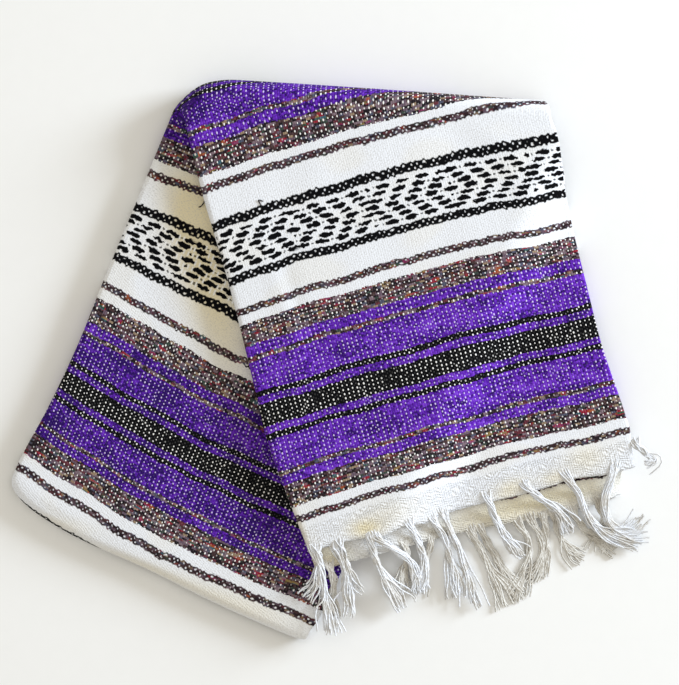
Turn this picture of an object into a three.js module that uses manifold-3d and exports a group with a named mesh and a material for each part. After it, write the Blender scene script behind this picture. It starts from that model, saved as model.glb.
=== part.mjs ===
// A falsa serape, a striped and fringed cotton blanket, folded and laid on a flat surface.
//
// The blanket is quartered across its width and halved end to end, which makes a strip of eight
// layers. Its closed end is the end fold, and both fringed ends are together at its other end. The
// strip is then doubled over on a skew line, the turn. The stretch below the turn that lies on the
// surface is the under leg. The stretch that comes over it is the upper leg, which rests on the
// under leg and, past that leg's edge, on the surface.
//
// X runs to the right and Y towards the turn. The origin is under the middle of the whole, on the
// surface. Each leg is measured along itself, from the line of the turn, and across itself, from
// its middle.

import * as THREE from "three";
import Module from "manifold-3d";

const wasm = await Module();
wasm.setup();

// Driving dimensions, in millimetres and degrees.
const CLOTH = 2.2; // one thickness of the woven cloth
const GAP = 0.3; // clearance between pieces that touch
const LAYER = 2.45; // one thickness with the air beside it
const LEG = 8 * LAYER; // height of a leg, eight layers
const HALF_LEG = LEG / 2; // height of the four layers of one end
const UNDER_LEAN = -23; // lean of the under leg from straight down
const UPPER_LEAN = 15.3; // lean of the upper leg from straight down
const TURN_REACH = 15.5; // how far the turn stands out past its own line
const TURN_FLAT = 3.2; // flat run of the turned cloth at each leg
const RAMP_START = 20; // how far past the under leg's edge the upper leg starts to come down
const RAMP = 62; // run in which it comes down to the surface
const END_FOLD_DEPTH = 11; // how far the end fold stands out past the flat of the leg
const FOLD_LIP = HALF_LEG / 2 - GAP / 4; // outer radius of a fold of four layers
const EDGE_LIP = 3; // outer radius of the turned down side with the selvedges
const TASSEL = 4.2; // height of a row of tassels where it lies flat

// The sides of each leg, measured across it, at places along it.
const UPPER_SIDES = [
  { along: -70, left: -171, right: 171 },
  { along: 45, left: -174.5, right: 179 },
  { along: 85, left: -174, right: 183.5 },
  { along: 145, left: -173, right: 177 },
  { along: 250, left: -175.5, right: 173.5 },
  { along: 300, left: -177.5, right: 172.8 },
  { along: 380, left: -170.5, right: 177.2 },
  { along: 425, left: -166.5, right: 173 },
  { along: 520, left: -168, right: 184 },
];
const UNDER_SIDES = [
  { along: -70, left: -169, right: 169 },
  { along: 480, left: -169, right: 168 },
  { along: 520, left: -166, right: 166 },
];

// How far along the leg its ends come, at places across it. The upper leg's first end is the hem
// on top, the second is the hem of the lower four layers, which lies further out. The last column
// is the reach of the tassels.
const END_FOLD = [
  { across: -170, along: 493 },
  { across: -134, along: 505 },
  { across: -80, along: 512 },
  { across: 0, along: 514 },
  { across: 90, along: 519 },
  { across: 170, along: 517 },
];
const HEMS = [
  { across: -175, upper: 424, lower: 440, tassels: 510 },
  { across: -95, upper: 421, lower: 440, tassels: 502 },
  { across: -20, upper: 419, lower: 442, tassels: 524 },
  { across: 15, upper: 419, lower: 444, tassels: 531 },
  { across: 60, upper: 417, lower: 448, tassels: 514 },
  { across: 104, upper: 413, lower: 451, tassels: 506 },
  { across: 145, upper: 417, lower: 449, tassels: 502 },
  { across: 190, upper: 423, lower: 446, tassels: 490 },
];

// How far the turn draws back where its left corner is rounded, at places across the strip.
const TURN_DRAW = [
  { across: -172, back: 34 },
  { across: -163, back: 20 },
  { across: -154, back: 10.5 },
  { across: -142, back: 4 },
  { across: -118, back: 0 },
  { across: 190, back: 0 },
];

// Selvedges and folds of the hidden layers at the right side, from the surface up.
const LOWER_END_EDGES = [{ inset: 3.4 }, { inset: 2.6 }];
const RIGHT_EDGES = [
  { inset: 3.4 },
  { inset: 0.6 },
  { inset: 2.2 },
  { inset: 1.1 },
  { inset: 2.6 },
  { inset: 3.4 },
];

const COLOUR = { purple: 0x5a32af, cream: 0xe2dfd8, brown: 0x64555a, black: 0x141318 };

// A smooth value from a table, read in one named column at a place in another.
function fromTable(rows, key, place, column) {
  const last = rows.length - 1;
  const at = THREE.MathUtils.clamp(place, rows[0][key], rows[last][key]);
  let index = 0;
  while (index < last - 1 && rows[index + 1][key] < at) index += 1;
  const slope = (from, to) => (rows[to][column] - rows[from][column]) / (rows[to][key] - rows[from][key]);
  const tangent = (row) => slope(Math.max(row - 1, 0), Math.min(row + 1, last));
  const span = rows[index + 1][key] - rows[index][key];
  const part = (at - rows[index][key]) / span;
  const [start, end] = [rows[index][column], rows[index + 1][column]];
  const [leave, arrive] = [tangent(index) * span, tangent(index + 1) * span];
  const bend = leave * (1 - part) - arrive * part + (end - start) * (2 * part - 1);
  return THREE.MathUtils.lerp(start, end, part) + part * (1 - part) * bend;
}

// A leg's own directions in plan, and its sides.
function legWith(leanDegrees, sides) {
  const lean = THREE.MathUtils.degToRad(leanDegrees);
  return {
    down: new THREE.Vector2(Math.sin(lean), -Math.cos(lean)),
    across: new THREE.Vector2(Math.cos(lean), Math.sin(lean)),
    side: (along, name) => fromTable(sides, "along", along, name),
  };
}

const under = legWith(UNDER_LEAN, UNDER_SIDES);
const upper = legWith(UPPER_LEAN, UPPER_SIDES);

// The turn's line halves the angle between the legs, as in any flat fold.
const turnAngle = THREE.MathUtils.degToRad((UNDER_LEAN + UPPER_LEAN) / 2);
const turnLine = new THREE.Vector2(Math.cos(turnAngle), Math.sin(turnAngle));
const turnOut = new THREE.Vector2(-Math.sin(turnAngle), Math.cos(turnAngle));
const turnSkew = THREE.MathUtils.degToRad((UPPER_LEAN - UNDER_LEAN) / 2);

function plan(leg, across, along) {
  return leg.across.clone().multiplyScalar(across).addScaledVector(leg.down, along);
}

// A place that leads to itself, found in rounds.
function settle(next, start) {
  let value = start;
  for (let round = 0; round < 8; round += 1) value = next(value);
  return value;
}

// A line across a leg gives the place along it at a place across it.
const tableLine = (rows, column, past) => (leg, across) => (
  fromTable(rows, "across", across, column) + past
);
const turnPart = (past) => (leg, across) => {
  const out = past - fromTable(TURN_DRAW, "across", across, "back");
  return (out - across * leg.across.dot(turnOut)) / leg.down.dot(turnOut);
};

// A place across a leg is a share of its width and an inset from there, as its sides aren't
// straight.
function acrossLeg(leg, spot, along) {
  const left = leg.side(along, "left");
  return left + spot.share * (leg.side(along, "right") - left) + spot.inset;
}

// Where a line meets a place across a leg.
function meet(leg, line, spot) {
  return settle((along) => line(leg, acrossLeg(leg, spot, along)), 0);
}

// Height of what the upper leg lies on: the under leg, then a soft ramp down to the surface. Close
// to the turn the strip is held up by its own fold.
function bed(spot) {
  const across = spot.dot(under.across);
  const along = spot.dot(under.down);
  const endFold = fromTable(END_FOLD, "across", across, "along");
  const inside = Math.min(under.side(along, "right") - across, endFold - along);
  const ramp = THREE.MathUtils.smoothstep(1 + (inside + RAMP_START) / RAMP, 0, 1);
  const held = 1 - THREE.MathUtils.smoothstep(-spot.dot(turnOut) / RAMP, 0, 1);
  return (LEG + GAP) * Math.max(ramp, held);
}

const surface = () => 0;

// A closed solid from two grids of points.
function gridSolid(outer, inner) {
  const rows = outer.length;
  const columns = outer[0].length;
  const points = [...outer.flat(), ...inner.flat()];
  const below = rows * columns;
  const at = (row, column) => row * columns + column;
  const triangles = [];
  const quad = (a, b, c, d) => triangles.push(a, b, c, a, c, d);
  for (let r = 0; r < rows - 1; r += 1) {
    for (let c = 0; c < columns - 1; c += 1) {
      const [a, b, d, e] = [at(r, c), at(r, c + 1), at(r + 1, c + 1), at(r + 1, c)];
      quad(a, b, d, e);
      quad(below + a, below + e, below + d, below + b);
    }
  }
  const rim = [];
  for (let c = 0; c < columns - 1; c += 1) rim.push(at(0, c));
  for (let r = 0; r < rows - 1; r += 1) rim.push(at(r, columns - 1));
  for (let c = columns - 1; c > 0; c -= 1) rim.push(at(rows - 1, c));
  for (let r = rows - 1; r > 0; r -= 1) rim.push(at(r, 0));
  rim.forEach((a, place) => {
    const b = rim[(place + 1) % rim.length];
    quad(b, a, below + a, below + b);
  });
  return facingOut(points, triangles);
}

// A closed solid lofted through rings with equal numbers of points. Its ends are closed in
// patches, each a loop of points of the ring. Where a ring runs from right to left its squares are
// cut the other way, so that they match the squares of the cloth that lies on them.
function loftSolid(rings, patches, runsLeft) {
  const size = rings[0].length;
  const points = rings.flat();
  const triangles = [];
  for (let r = 0; r < rings.length - 1; r += 1) {
    for (let c = 0; c < size; c += 1) {
      const [a, b] = [r * size + c, r * size + ((c + 1) % size)];
      const [d, e] = [b + size, a + size];
      triangles.push(...(runsLeft(c) ? [a, b, e, b, d, e] : [a, b, d, a, d, e]));
    }
  }
  const closeEnd = (ring, first, turned) => patches.forEach((patch) => {
    const centre = points.length;
    const sum = patch.reduce((total, c) => total.add(ring[c]), new THREE.Vector3());
    points.push(sum.divideScalar(patch.length));
    patch.forEach((c, place) => {
      const [a, b] = [first + c, first + patch[(place + 1) % patch.length]];
      triangles.push(...(turned ? [b, a, centre] : [a, b, centre]));
    });
  });
  closeEnd(rings[0], 0, true);
  closeEnd(rings.at(-1), (rings.length - 1) * size, false);
  return facingOut(points, triangles);
}

// A geometry whose faces point out, whichever way round its triangles were listed.
function facingOut(points, triangles) {
  let volume = 0;
  const cross = new THREE.Vector3();
  for (let t = 0; t < triangles.length; t += 3) {
    const [a, b, c] = [points[triangles[t]], points[triangles[t + 1]], points[triangles[t + 2]]];
    volume += a.dot(cross.crossVectors(b, c));
  }
  if (volume < 0) {
    for (let t = 0; t < triangles.length; t += 3) {
      [triangles[t], triangles[t + 1]] = [triangles[t + 1], triangles[t]];
    }
  }
  const geometry = new THREE.BufferGeometry().setFromPoints(points);
  geometry.setIndex(triangles);
  return geometry;
}

// The section of a cloth across a leg: round a left lip, over the flat and round a right lip. Each
// point has a share of the leg's width and an inset from there, and a depth from the flat face
// towards the middle of the leg. The inner points are the same ones, moved in by the cloth.
function clothSection(leftLip, rightLip, flats) {
  const point = (share, lip, angle, sign, skin) => ({
    share,
    inset: sign * (skin + (lip.radius - skin) * (1 - Math.sin(angle))),
    depth: skin + (lip.radius - skin) * (1 - Math.cos(angle)),
    rest: { share, inset: sign * lip.radius },
  });
  const lipPoints = (share, lip, sign, skin) => {
    const count = Math.round(lip.turn / 45);
    const angles = Array.from({ length: count }, (_, i) => lip.turn * (1 - i / count));
    return angles.map((turn) => point(share, lip, THREE.MathUtils.degToRad(turn), sign, skin));
  };
  const flatPoints = (skin) => flatShares(leftLip.radius, rightLip.radius, flats)
    .map((spot) => ({ ...spot, depth: skin, rest: spot }));
  const line = (skin) => [
    ...lipPoints(0, leftLip, 1, skin),
    ...flatPoints(skin),
    ...lipPoints(1, rightLip, -1, skin).reverse(),
  ];
  return { outer: line(0), inner: line(CLOTH) };
}

// Even places across the flat of a leg, between its lips.
function flatShares(leftInset, rightInset, flats) {
  return Array.from({ length: flats + 1 }, (_, i) => {
    const share = i / flats;
    return { share, inset: leftInset - share * (leftInset + rightInset) };
  });
}

// A point of a leg. Its part runs from 0 to 1 between the first two lines, and on to 2 between the
// next two, less a draw. It is as high above its bed as it says, and a point of a lip moves with
// the flat beside it.
function legPoint(leg, lines, level, spot, part, draw, height) {
  const index = THREE.MathUtils.clamp(Math.ceil(part) - 1, 0, lines.length - 2);
  const from = meet(leg, lines[index], spot);
  const to = meet(leg, lines[index + 1], spot);
  const along = THREE.MathUtils.lerp(from, to, part - index) - draw;
  const place = plan(leg, acrossLeg(leg, spot, along), along);
  const rest = plan(leg, acrossLeg(leg, spot.rest, along), along);
  return new THREE.Vector3(place.x, place.y, level(rest) + height);
}

// Cloth over a face of a leg. The facing is 1 on top and -1 underneath.
function legCloth(leg, lines, level, section, facing, parts) {
  const grid = (points) => parts.map((part) => (
    points.map((spot) => legPoint(leg, lines, level, spot, part, 0, -facing * spot.depth))
  ));
  return gridSolid(grid(section.outer), grid(section.inner));
}

// The section of a leg's hidden layers, from the top of its left side round to the top of its
// right side and back. The left side has a rounded fold at each of the middles, and the right side
// has one edge for each layer.
function layersSection(foldMiddles, rightEdges, flats) {
  const bottom = CLOTH + GAP;
  const fold = FOLD_LIP - bottom;
  const top = foldMiddles[0] + fold;
  const [leftRest, ...others] = flatShares(FOLD_LIP, EDGE_LIP, flats);
  const rightRest = others.pop();
  const atLeft = (inset, height) => ({ share: 0, inset, height, rest: leftRest });
  const atRight = (inset, height) => ({ share: 1, inset: -inset, height, rest: rightRest });
  const notch = FOLD_LIP + 2 * GAP;
  const left = foldMiddles.flatMap((middle, index) => {
    const arc = [0, 45, 90, 135, 180].map((turn) => {
      const angle = THREE.MathUtils.degToRad(turn);
      return atLeft(bottom + fold * (1 - Math.sin(angle)), middle + fold * Math.cos(angle));
    });
    const notchAbove = index > 0 ? [atLeft(notch, middle + fold)] : [];
    const notchBelow = index < foldMiddles.length - 1 ? [atLeft(notch, middle - fold)] : [];
    return [...notchAbove, ...arc, ...notchBelow];
  });
  const flat = (height) => others.map((spot) => ({ ...spot, height, rest: spot }));
  const edge = (top - bottom) / rightEdges.length;
  const right = rightEdges.flatMap(({ inset }, layer) => {
    const low = bottom + layer * edge;
    const back = layer === 0 ? EDGE_LIP : inset + edge / 2;
    return [
      atRight(back, low),
      atRight(inset, low + edge * 0.35),
      atRight(inset, low + edge * 0.65),
    ];
  });
  const below = flat(bottom);
  const above = flat(top).reverse();
  const points = [...left, ...below, ...right, atRight(EDGE_LIP, top), ...above];
  const size = points.length;
  const indices = points.map((_, index) => index);
  const firstBelow = left.length;
  const lastBelow = firstBelow + below.length - 1;
  const firstAbove = size - above.length;
  const squares = below.slice(1).map((_, i) => [
    firstBelow + i,
    firstBelow + i + 1,
    size - 2 - i,
    size - 1 - i,
  ]);
  const patches = [
    [...indices.slice(0, firstBelow + 1), size - 1],
    ...squares,
    indices.slice(lastBelow, firstAbove + 1),
  ];
  const runsLeft = (index) => index >= firstAbove - 1;
  return { points, patches, runsLeft, middle: (bottom + top) / 2 };
}

// Hidden layers of a leg, through stations at parts of its length. At each station the height
// shrinks about the middle by a factor, which rounds the end fold.
function legLayers(leg, lines, level, section, stations) {
  const rings = stations.map(({ part, factor, draw }) => section.points.map((spot) => {
    const height = section.middle + (spot.height - section.middle) * factor;
    return legPoint(leg, lines, level, spot, part, draw, height);
  }));
  return loftSolid(rings, section.patches, section.runsLeft);
}

// A bend of cloth seen from its side: half an ellipse, with a flat run at both of its ends.
function halfTurn(part, reach, rise) {
  const bend = Math.PI * Math.sqrt((reach * reach + rise * rise) / 2);
  const place = (part * (bend + 2 * TURN_FLAT) - TURN_FLAT) / bend;
  if (place <= 0) return { out: place * bend, up: -rise };
  if (place >= 1) return { out: (1 - place) * bend, up: rise };
  const angle = (place - 0.5) * Math.PI;
  return { out: reach * Math.cos(angle), up: rise * Math.sin(angle) };
}

// A point of a surface moved in along its normal.
function movedIn(face, row, step, depth) {
  const small = 1e-3;
  const alongRow = face(row, step + small).sub(face(row, step - small));
  const acrossRows = face(row + small, step).sub(face(row - small, step));
  const inwards = alongRow.cross(acrossRows).normalize();
  return face(row, step).addScaledVector(inwards, depth);
}

// Cloth bent round a fold. Its rows run from left to right, and its steps round the bend from the
// top to the bottom.
function bentCloth(face, rows, steps) {
  const grid = (depth) => Array.from({ length: rows + 1 }, (_, row) => (
    Array.from({ length: steps + 1 }, (__, step) => movedIn(face, row, step, depth))
  ));
  return gridSolid(grid(0), grid(CLOTH));
}

const TURN_ROWS = 18;
const TURN_STEPS = 10;
const TURN_RISE = LEG + GAP / 2;

// A point of the turn. Each line along the strip comes up the under leg, winds along the turn as
// it bends and goes on down the upper leg.
function turnFace(row, step) {
  const section = halfTurn(1 - step / TURN_STEPS, TURN_REACH, TURN_RISE);
  const even = row / TURN_ROWS;
  const crowded = (1 - Math.cos(even * Math.PI)) / 2;
  const spot = { share: THREE.MathUtils.lerp(even, crowded, 0.45), inset: 0 };
  const seam = turnPart(-TURN_FLAT);
  const [below, above] = [under, upper].map((leg) => acrossLeg(leg, spot, meet(leg, seam, spot)));
  const turned = section.up / TURN_RISE;
  const across = THREE.MathUtils.lerp(below, above, (turned + 1) / 2);
  const draw = fromTable(TURN_DRAW, "across", across, "back");
  const run = Math.sign(turned) * Math.max(-section.out, 0);
  const place = across / Math.cos(turnSkew) + Math.tan(turnSkew) * (draw * turned + run);
  const out = section.out - draw;
  const plane = turnLine.clone().multiplyScalar(place).addScaledVector(turnOut, out);
  return new THREE.Vector3(plane.x, plane.y, TURN_RISE + section.up);
}

// The layers inside the turn, as far from its ends as the folds at its sides are wide.
function turnLayers() {
  const depth = CLOTH + 3 * GAP;
  const steps = Array.from({ length: TURN_STEPS + 1 }, (_, step) => step);
  const rings = Array.from({ length: TURN_ROWS + 1 }, (_, index) => {
    const row = THREE.MathUtils.lerp(1.2, TURN_ROWS - 0.5, index / TURN_ROWS);
    return steps.map((step) => movedIn(turnFace, row, step, depth));
  });
  return loftSolid(rings, [steps], () => false);
}

const END_ROWS = 14;
const END_STEPS = 8;

// A point of the end fold, whose rows run from right to left.
function endFoldFace(row, step) {
  const section = halfTurn(1 - step / END_STEPS, END_FOLD_DEPTH, HALF_LEG);
  const line = tableLine(END_FOLD, "along", section.out - END_FOLD_DEPTH);
  const share = 1 - row / END_ROWS;
  const spot = { share, inset: FOLD_LIP - share * (FOLD_LIP + EDGE_LIP) };
  const lines = [line, line];
  return legPoint(under, lines, surface, { ...spot, rest: spot }, 0, 0, HALF_LEG + section.up);
}

// A plain solid of the reach of a row of tassels. The lower row comes off the lower hem and falls
// to the surface. The upper row comes off the upper hem and lies over the lower end and then over
// the lower row.
function tassels(isUpper) {
  const falls = 6;
  const spots = flatShares(FOLD_LIP, EDGE_LIP, UPPER_FLATS)
    .map((spot) => ({ ...spot, rest: spot }));
  const lines = [
    tableLine(HEMS, "upper", GAP),
    tableLine(HEMS, "lower", GAP),
    tableLine(HEMS, "tassels", 0),
  ];
  const face = (part, height) => (
    spots.map((spot) => legPoint(upper, lines, bed, spot, part, 0, height))
  );
  const parts = Array.from({ length: falls + 1 }, (_, i) => 1 + i / falls);
  const fall = (part) => {
    const eased = THREE.MathUtils.smoothstep(2 * (part - 1), 0, 1);
    return THREE.MathUtils.lerp(HALF_LEG, TASSEL, eased);
  };
  if (!isUpper) {
    return gridSolid(
      parts.map((part) => face(part, fall(part) - GAP)),
      parts.map((part) => face(part, 0)),
    );
  }
  const low = HALF_LEG + GAP;
  return gridSolid(
    [face(0, LEG - GAP), ...parts.map((part) => face(part, fall(part) + GAP + TASSEL))],
    [face(0, low), ...parts.map((part) => face(part, fall(part) + GAP))],
  );
}

// The four bodies of hidden layers joined into one.
function join(geometries) {
  const solids = geometries.map((geometry) => {
    const vertProperties = new Float32Array(geometry.getAttribute("position").array);
    const triVerts = new Uint32Array(geometry.getIndex().array);
    return new wasm.Manifold(new wasm.Mesh({ numProp: 3, vertProperties, triVerts }));
  });
  const mesh = solids.reduce((whole, piece) => whole.add(piece)).getMesh();
  const joined = new THREE.BufferGeometry();
  joined.setAttribute("position", new THREE.BufferAttribute(mesh.vertProperties, 3));
  joined.setIndex(new THREE.BufferAttribute(mesh.triVerts, 1));
  return joined;
}

const UPPER_FLATS = 12;
const UPPER_ROWS = 18;
const UNDER_FLATS = 8;
const UNDER_ROWS = 8;
const IN_TURN = -0.01; // part of a leg's length by which its hidden layers run into the turn

const evenParts = (count) => Array.from({ length: count + 1 }, (_, i) => i / count);
const foldLip = { radius: FOLD_LIP, turn: 180 };
const edgeLip = { radius: EDGE_LIP, turn: 90 };
const underSection = clothSection(foldLip, edgeLip, UNDER_FLATS);
const upperSection = clothSection(foldLip, edgeLip, UPPER_FLATS);
const lowerEndSection = clothSection({ radius: FOLD_LIP + GAP, turn: 0 }, edgeLip, UPPER_FLATS);

const upperHem = tableLine(HEMS, "upper", 0);
const lowerHem = tableLine(HEMS, "lower", 0);
const turnSeam = turnPart(-TURN_FLAT - 5 * GAP);
const upperLines = [turnSeam, upperHem, lowerHem];
const underLines = [
  turnSeam,
  tableLine(END_FOLD, "along", -END_FOLD_DEPTH - TURN_FLAT - GAP),
];

function hiddenLayers() {
  const folds = [LEG - FOLD_LIP, FOLD_LIP];
  const flatStation = (part) => ({ part, factor: 1, draw: 0 });
  const depth = END_FOLD_DEPTH - CLOTH - GAP;
  const rounded = [0, 25, 45, 65].map((turn) => {
    const angle = THREE.MathUtils.degToRad(turn);
    return { part: 1, factor: Math.cos(angle), draw: depth * (1 - Math.sin(angle)) };
  });
  const underStations = [
    ...[IN_TURN, ...evenParts(UNDER_ROWS).slice(0, -1)].map(flatStation),
    ...rounded,
  ];
  const upperStations = [
    ...[IN_TURN, ...evenParts(UPPER_ROWS).slice(0, -1)].map(flatStation),
    { part: 1, factor: 1, draw: 1 },
  ];
  const lowerStations = [1 - 1 / UPPER_ROWS, 1, 1.97].map(flatStation);
  const insideEnd = tableLine(END_FOLD, "along", -CLOTH - 3 * GAP);
  return join([
    legLayers(
      under,
      [turnSeam, insideEnd],
      surface,
      layersSection(folds, RIGHT_EDGES, UNDER_FLATS),
      underStations,
    ),
    turnLayers(),
    legLayers(
      upper,
      upperLines,
      bed,
      layersSection(folds, RIGHT_EDGES, UPPER_FLATS),
      upperStations,
    ),
    legLayers(
      upper,
      upperLines,
      bed,
      layersSection([FOLD_LIP], LOWER_END_EDGES, UPPER_FLATS),
      lowerStations,
    ),
  ]);
}

function piece(name, geometry, colour) {
  const material = new THREE.MeshStandardMaterial({ color: colour, roughness: 0.95, metalness: 0 });
  const mesh = new THREE.Mesh(geometry, material);
  mesh.name = name;
  return mesh;
}

const onBed = (height) => (spot) => bed(spot) + height;
const toUpperHem = evenParts(UPPER_ROWS);
const toLowerHem = [...toUpperHem, 2];
const serape = new THREE.Group();
serape.add(
  piece(
    "under_leg_face",
    legCloth(under, underLines, () => LEG, underSection, 1, evenParts(UNDER_ROWS)),
    COLOUR.purple,
  ),
  piece(
    "under_leg_underside",
    legCloth(under, underLines, surface, underSection, -1, evenParts(UNDER_ROWS)),
    COLOUR.purple,
  ),
  piece("end_fold", bentCloth(endFoldFace, END_ROWS, END_STEPS), COLOUR.cream),
  piece("turn_over", bentCloth(turnFace, TURN_ROWS, TURN_STEPS), COLOUR.brown),
  piece(
    "upper_leg_face",
    legCloth(upper, upperLines, onBed(LEG), upperSection, 1, toUpperHem),
    COLOUR.purple,
  ),
  piece(
    "upper_leg_underside",
    legCloth(upper, upperLines, bed, upperSection, -1, toLowerHem),
    COLOUR.black,
  ),
  piece(
    "lower_end",
    legCloth(upper, [upperHem, lowerHem], onBed(2 * FOLD_LIP), lowerEndSection, 1, [0.01, 1]),
    COLOUR.cream,
  ),
  piece("folded_layers", hiddenLayers(), COLOUR.brown),
  piece("upper_fringe", tassels(true), COLOUR.cream),
  piece("lower_fringe", tassels(false), COLOUR.cream),
);

// The origin goes under the middle of the whole.
const box = new THREE.Box3().setFromObject(serape);
const middle = box.getCenter(new THREE.Vector3());
serape.position.set(-middle.x, -middle.y, -box.min.z);

export default serape;
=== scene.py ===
"""A falsa serape, a striped and fringed cotton blanket, folded and laid on a pale floor.

The blanket is quartered across its width and halved end to end, and the strip of eight layers
is doubled over on a skew line, the turn. All eight layers are built: the cloth runs from the
hem on top, over the turn, under the lower leg, round the end fold, back over the lower leg,
round the inside of the turn and under the upper leg to the lower hem. Each stretch is one sheet
with the four layers of its section. Sizes here are in millimetres and degrees, and the meshes
are in metres. Each leg is measured along itself, from the line of the turn, and across itself.
"""

import math

import bpy
import numpy as np
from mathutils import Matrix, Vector


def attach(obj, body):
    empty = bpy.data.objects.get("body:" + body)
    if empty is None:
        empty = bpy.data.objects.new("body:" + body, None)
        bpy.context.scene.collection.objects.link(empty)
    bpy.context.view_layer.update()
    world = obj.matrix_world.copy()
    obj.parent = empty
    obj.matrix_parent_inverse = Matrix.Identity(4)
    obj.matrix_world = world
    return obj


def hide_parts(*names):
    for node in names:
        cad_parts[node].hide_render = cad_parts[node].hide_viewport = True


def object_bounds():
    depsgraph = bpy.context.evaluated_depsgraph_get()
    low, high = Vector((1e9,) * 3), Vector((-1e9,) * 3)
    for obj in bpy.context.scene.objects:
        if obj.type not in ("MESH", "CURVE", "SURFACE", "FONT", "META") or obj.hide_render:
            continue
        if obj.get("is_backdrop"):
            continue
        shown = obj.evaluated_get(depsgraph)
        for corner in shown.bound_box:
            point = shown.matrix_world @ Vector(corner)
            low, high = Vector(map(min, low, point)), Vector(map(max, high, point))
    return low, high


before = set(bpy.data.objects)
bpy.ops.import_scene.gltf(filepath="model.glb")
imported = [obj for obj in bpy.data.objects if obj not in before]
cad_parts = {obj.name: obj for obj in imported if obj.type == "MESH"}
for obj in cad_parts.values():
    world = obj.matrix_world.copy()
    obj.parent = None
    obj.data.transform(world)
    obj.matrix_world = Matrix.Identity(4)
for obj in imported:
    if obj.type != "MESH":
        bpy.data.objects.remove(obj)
cad_low, cad_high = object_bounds()

MM = 0.001


def table(*rows):
    return np.array(rows, float)


# ---- Sizes of the folded blanket ----

LEG = 19.6  # height of a leg, eight layers
HALF_LEG = LEG / 2  # height of the four layers of one end
BED = LEG + 0.3  # height of what the upper leg lies on
CLOTH = 1.75  # one thickness of the woven cloth
LAYER = 2.45  # one thickness with the air beside it
SKIN = 1.1  # middle of the outermost cloth, in from the face of a leg
UNDER_LEAN = -23.0  # lean of the under leg from straight down
UPPER_LEAN = 15.3  # lean of the upper leg from straight down
TURN_REACH = 15.5  # how far the turn stands out past its own line
TURN_RISE = LEG + 0.15  # height of the turn's middle
TURN_FLAT = 3.2  # run of flat cloth between a leg and the turn's own line
TURN_CORE = 20.5  # depth at which the turn would have no reach
END_DEPTH = 11.0  # how far the end fold stands out past the flat of the leg
RAMP_START = 20.0  # how far past the under leg's edge the upper leg starts to come down
RAMP = 62.0  # run in which it comes down to the surface

# The sides of each leg, measured across it: along, left, right.
UPPER_SIDES = table(
    (-70, -171, 171), (45, -174.5, 179), (85, -174, 183.5), (145, -173, 177), (250, -175.5, 173.5),
    (300, -177.5, 172.8), (380, -170.5, 177.2), (425, -166.5, 173), (520, -168, 184),
)
UNDER_SIDES = table(
    (-70, -169, 169), (90, -168.5, 169), (170, -167.3, 169), (260, -166.8, 169), (330, -165.3, 169),
    (400, -168, 169), (450, -173, 168.5), (472, -174, 168), (490, -172.5, 166.5), (505, -168, 163),
    (520, -162, 158),
)

# The lower end draws in at its right, behind the last tassels.
BENEATH_SIDES = table(
    (-70, -171, 171), (45, -173, 177), (85, -173, 180), (250, -174.5, 172), (300, -176, 171),
    (380, -169.5, 174), (420, -166, 163), (440, -165, 154), (520, -166, 150),
)

# How far along the leg its ends come, at places across it.
END_FOLD = table(
    (-176, 484), (-168, 492), (-157, 499), (-134, 505.5), (-80, 512), (0, 514), (90, 519),
    (150, 518.5), (162, 515), (170, 507),
)
UPPER_HEM = table(
    (-175, 421), (-155, 418.5), (-110, 419.5), (-92, 423), (-70, 419), (-45, 422.5), (-28, 419),
    (0, 418.5), (40, 420.5), (85, 420.5), (104, 418.5), (120, 420.5), (141, 424), (190, 424),
)
LOWER_HEM = table(
    (-175, 440), (-95, 440), (-20, 442), (15, 444), (60, 448), (104, 451), (145, 449), (190, 446),
)

# How far the turn draws back where its left corner is rounded, at places across the strip.
TURN_DRAW = table(
    (-172, 34), (-163, 20), (-154, 10.5), (-142, 4), (-118, 0), (190, 0),
)

# The weft's place in the stripes, counted from the middle diamond band: along the leg, place.
UPPER_STRIPES = table(
    (-140, 432), (-60, 512), (-21, 555.5), (-4, 569.5), (25, 593.5), (37.5, 607.5), (77, 637.5),
    (106.5, 666), (133.5, 694.5), (166, 724.5), (202, 762.5), (218, 776.5), (249, 808),
    (274, 832.5), (298, 857), (330, 888.5), (368, 926.5), (381, 940.5), (450, 1010),
)
UNDER_STRIPES = table(
    (-40, 577), (130, 405.5), (144, 391.5), (182, 361.5), (209, 333), (236, 304.5), (268, 274.5),
    (322, 222.5), (372, 166.5), (434, 96.5), (469, 61), (497, 36), (600, -66),
)
BENEATH_STRIPES = table((-3, 548), (422, 940.5), (470, 985))
INNER_TURN = 553.0  # the weft's place where the cloth leaves the inner turn for the lower layers

# How far the stripes hang down the leg away from its middle, and how much of it each place
# along the leg has.
UPPER_BOW = table(
    (-178, 6), (-150, 3), (-100, 0.5), (0, -0.5), (50, -0.5), (100, 2), (150, 6), (182, 8.5),
)
UPPER_BOW_SHARE = table((-60, 0.6), (60, 1), (165, 1), (270, 0.5), (380, 0.7))
BENEATH_BOW = table(
    (-178, -8), (0, -8), (22, -6.5), (35, -4), (50, -4.6), (62, -5.8), (76, -5), (85, -3.4),
    (98, -4.2), (106, -4.2), (120, -3), (141, 0), (152, -4), (190, -5),
)
BENEATH_BOW_SHARE = table((0, 1), (500, 1))
UNDER_BOW = table(
    (-171, -3.5), (-150, 0), (-100, 7), (-50, 13), (0, 17), (50, 19), (145, 20),
)
UNDER_BOW_SHARE = table(
    (100, 0), (183, 0.1), (240, 0.5), (270, 0.85), (370, 1), (470, 1.2), (520, 1.25),
)

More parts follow.
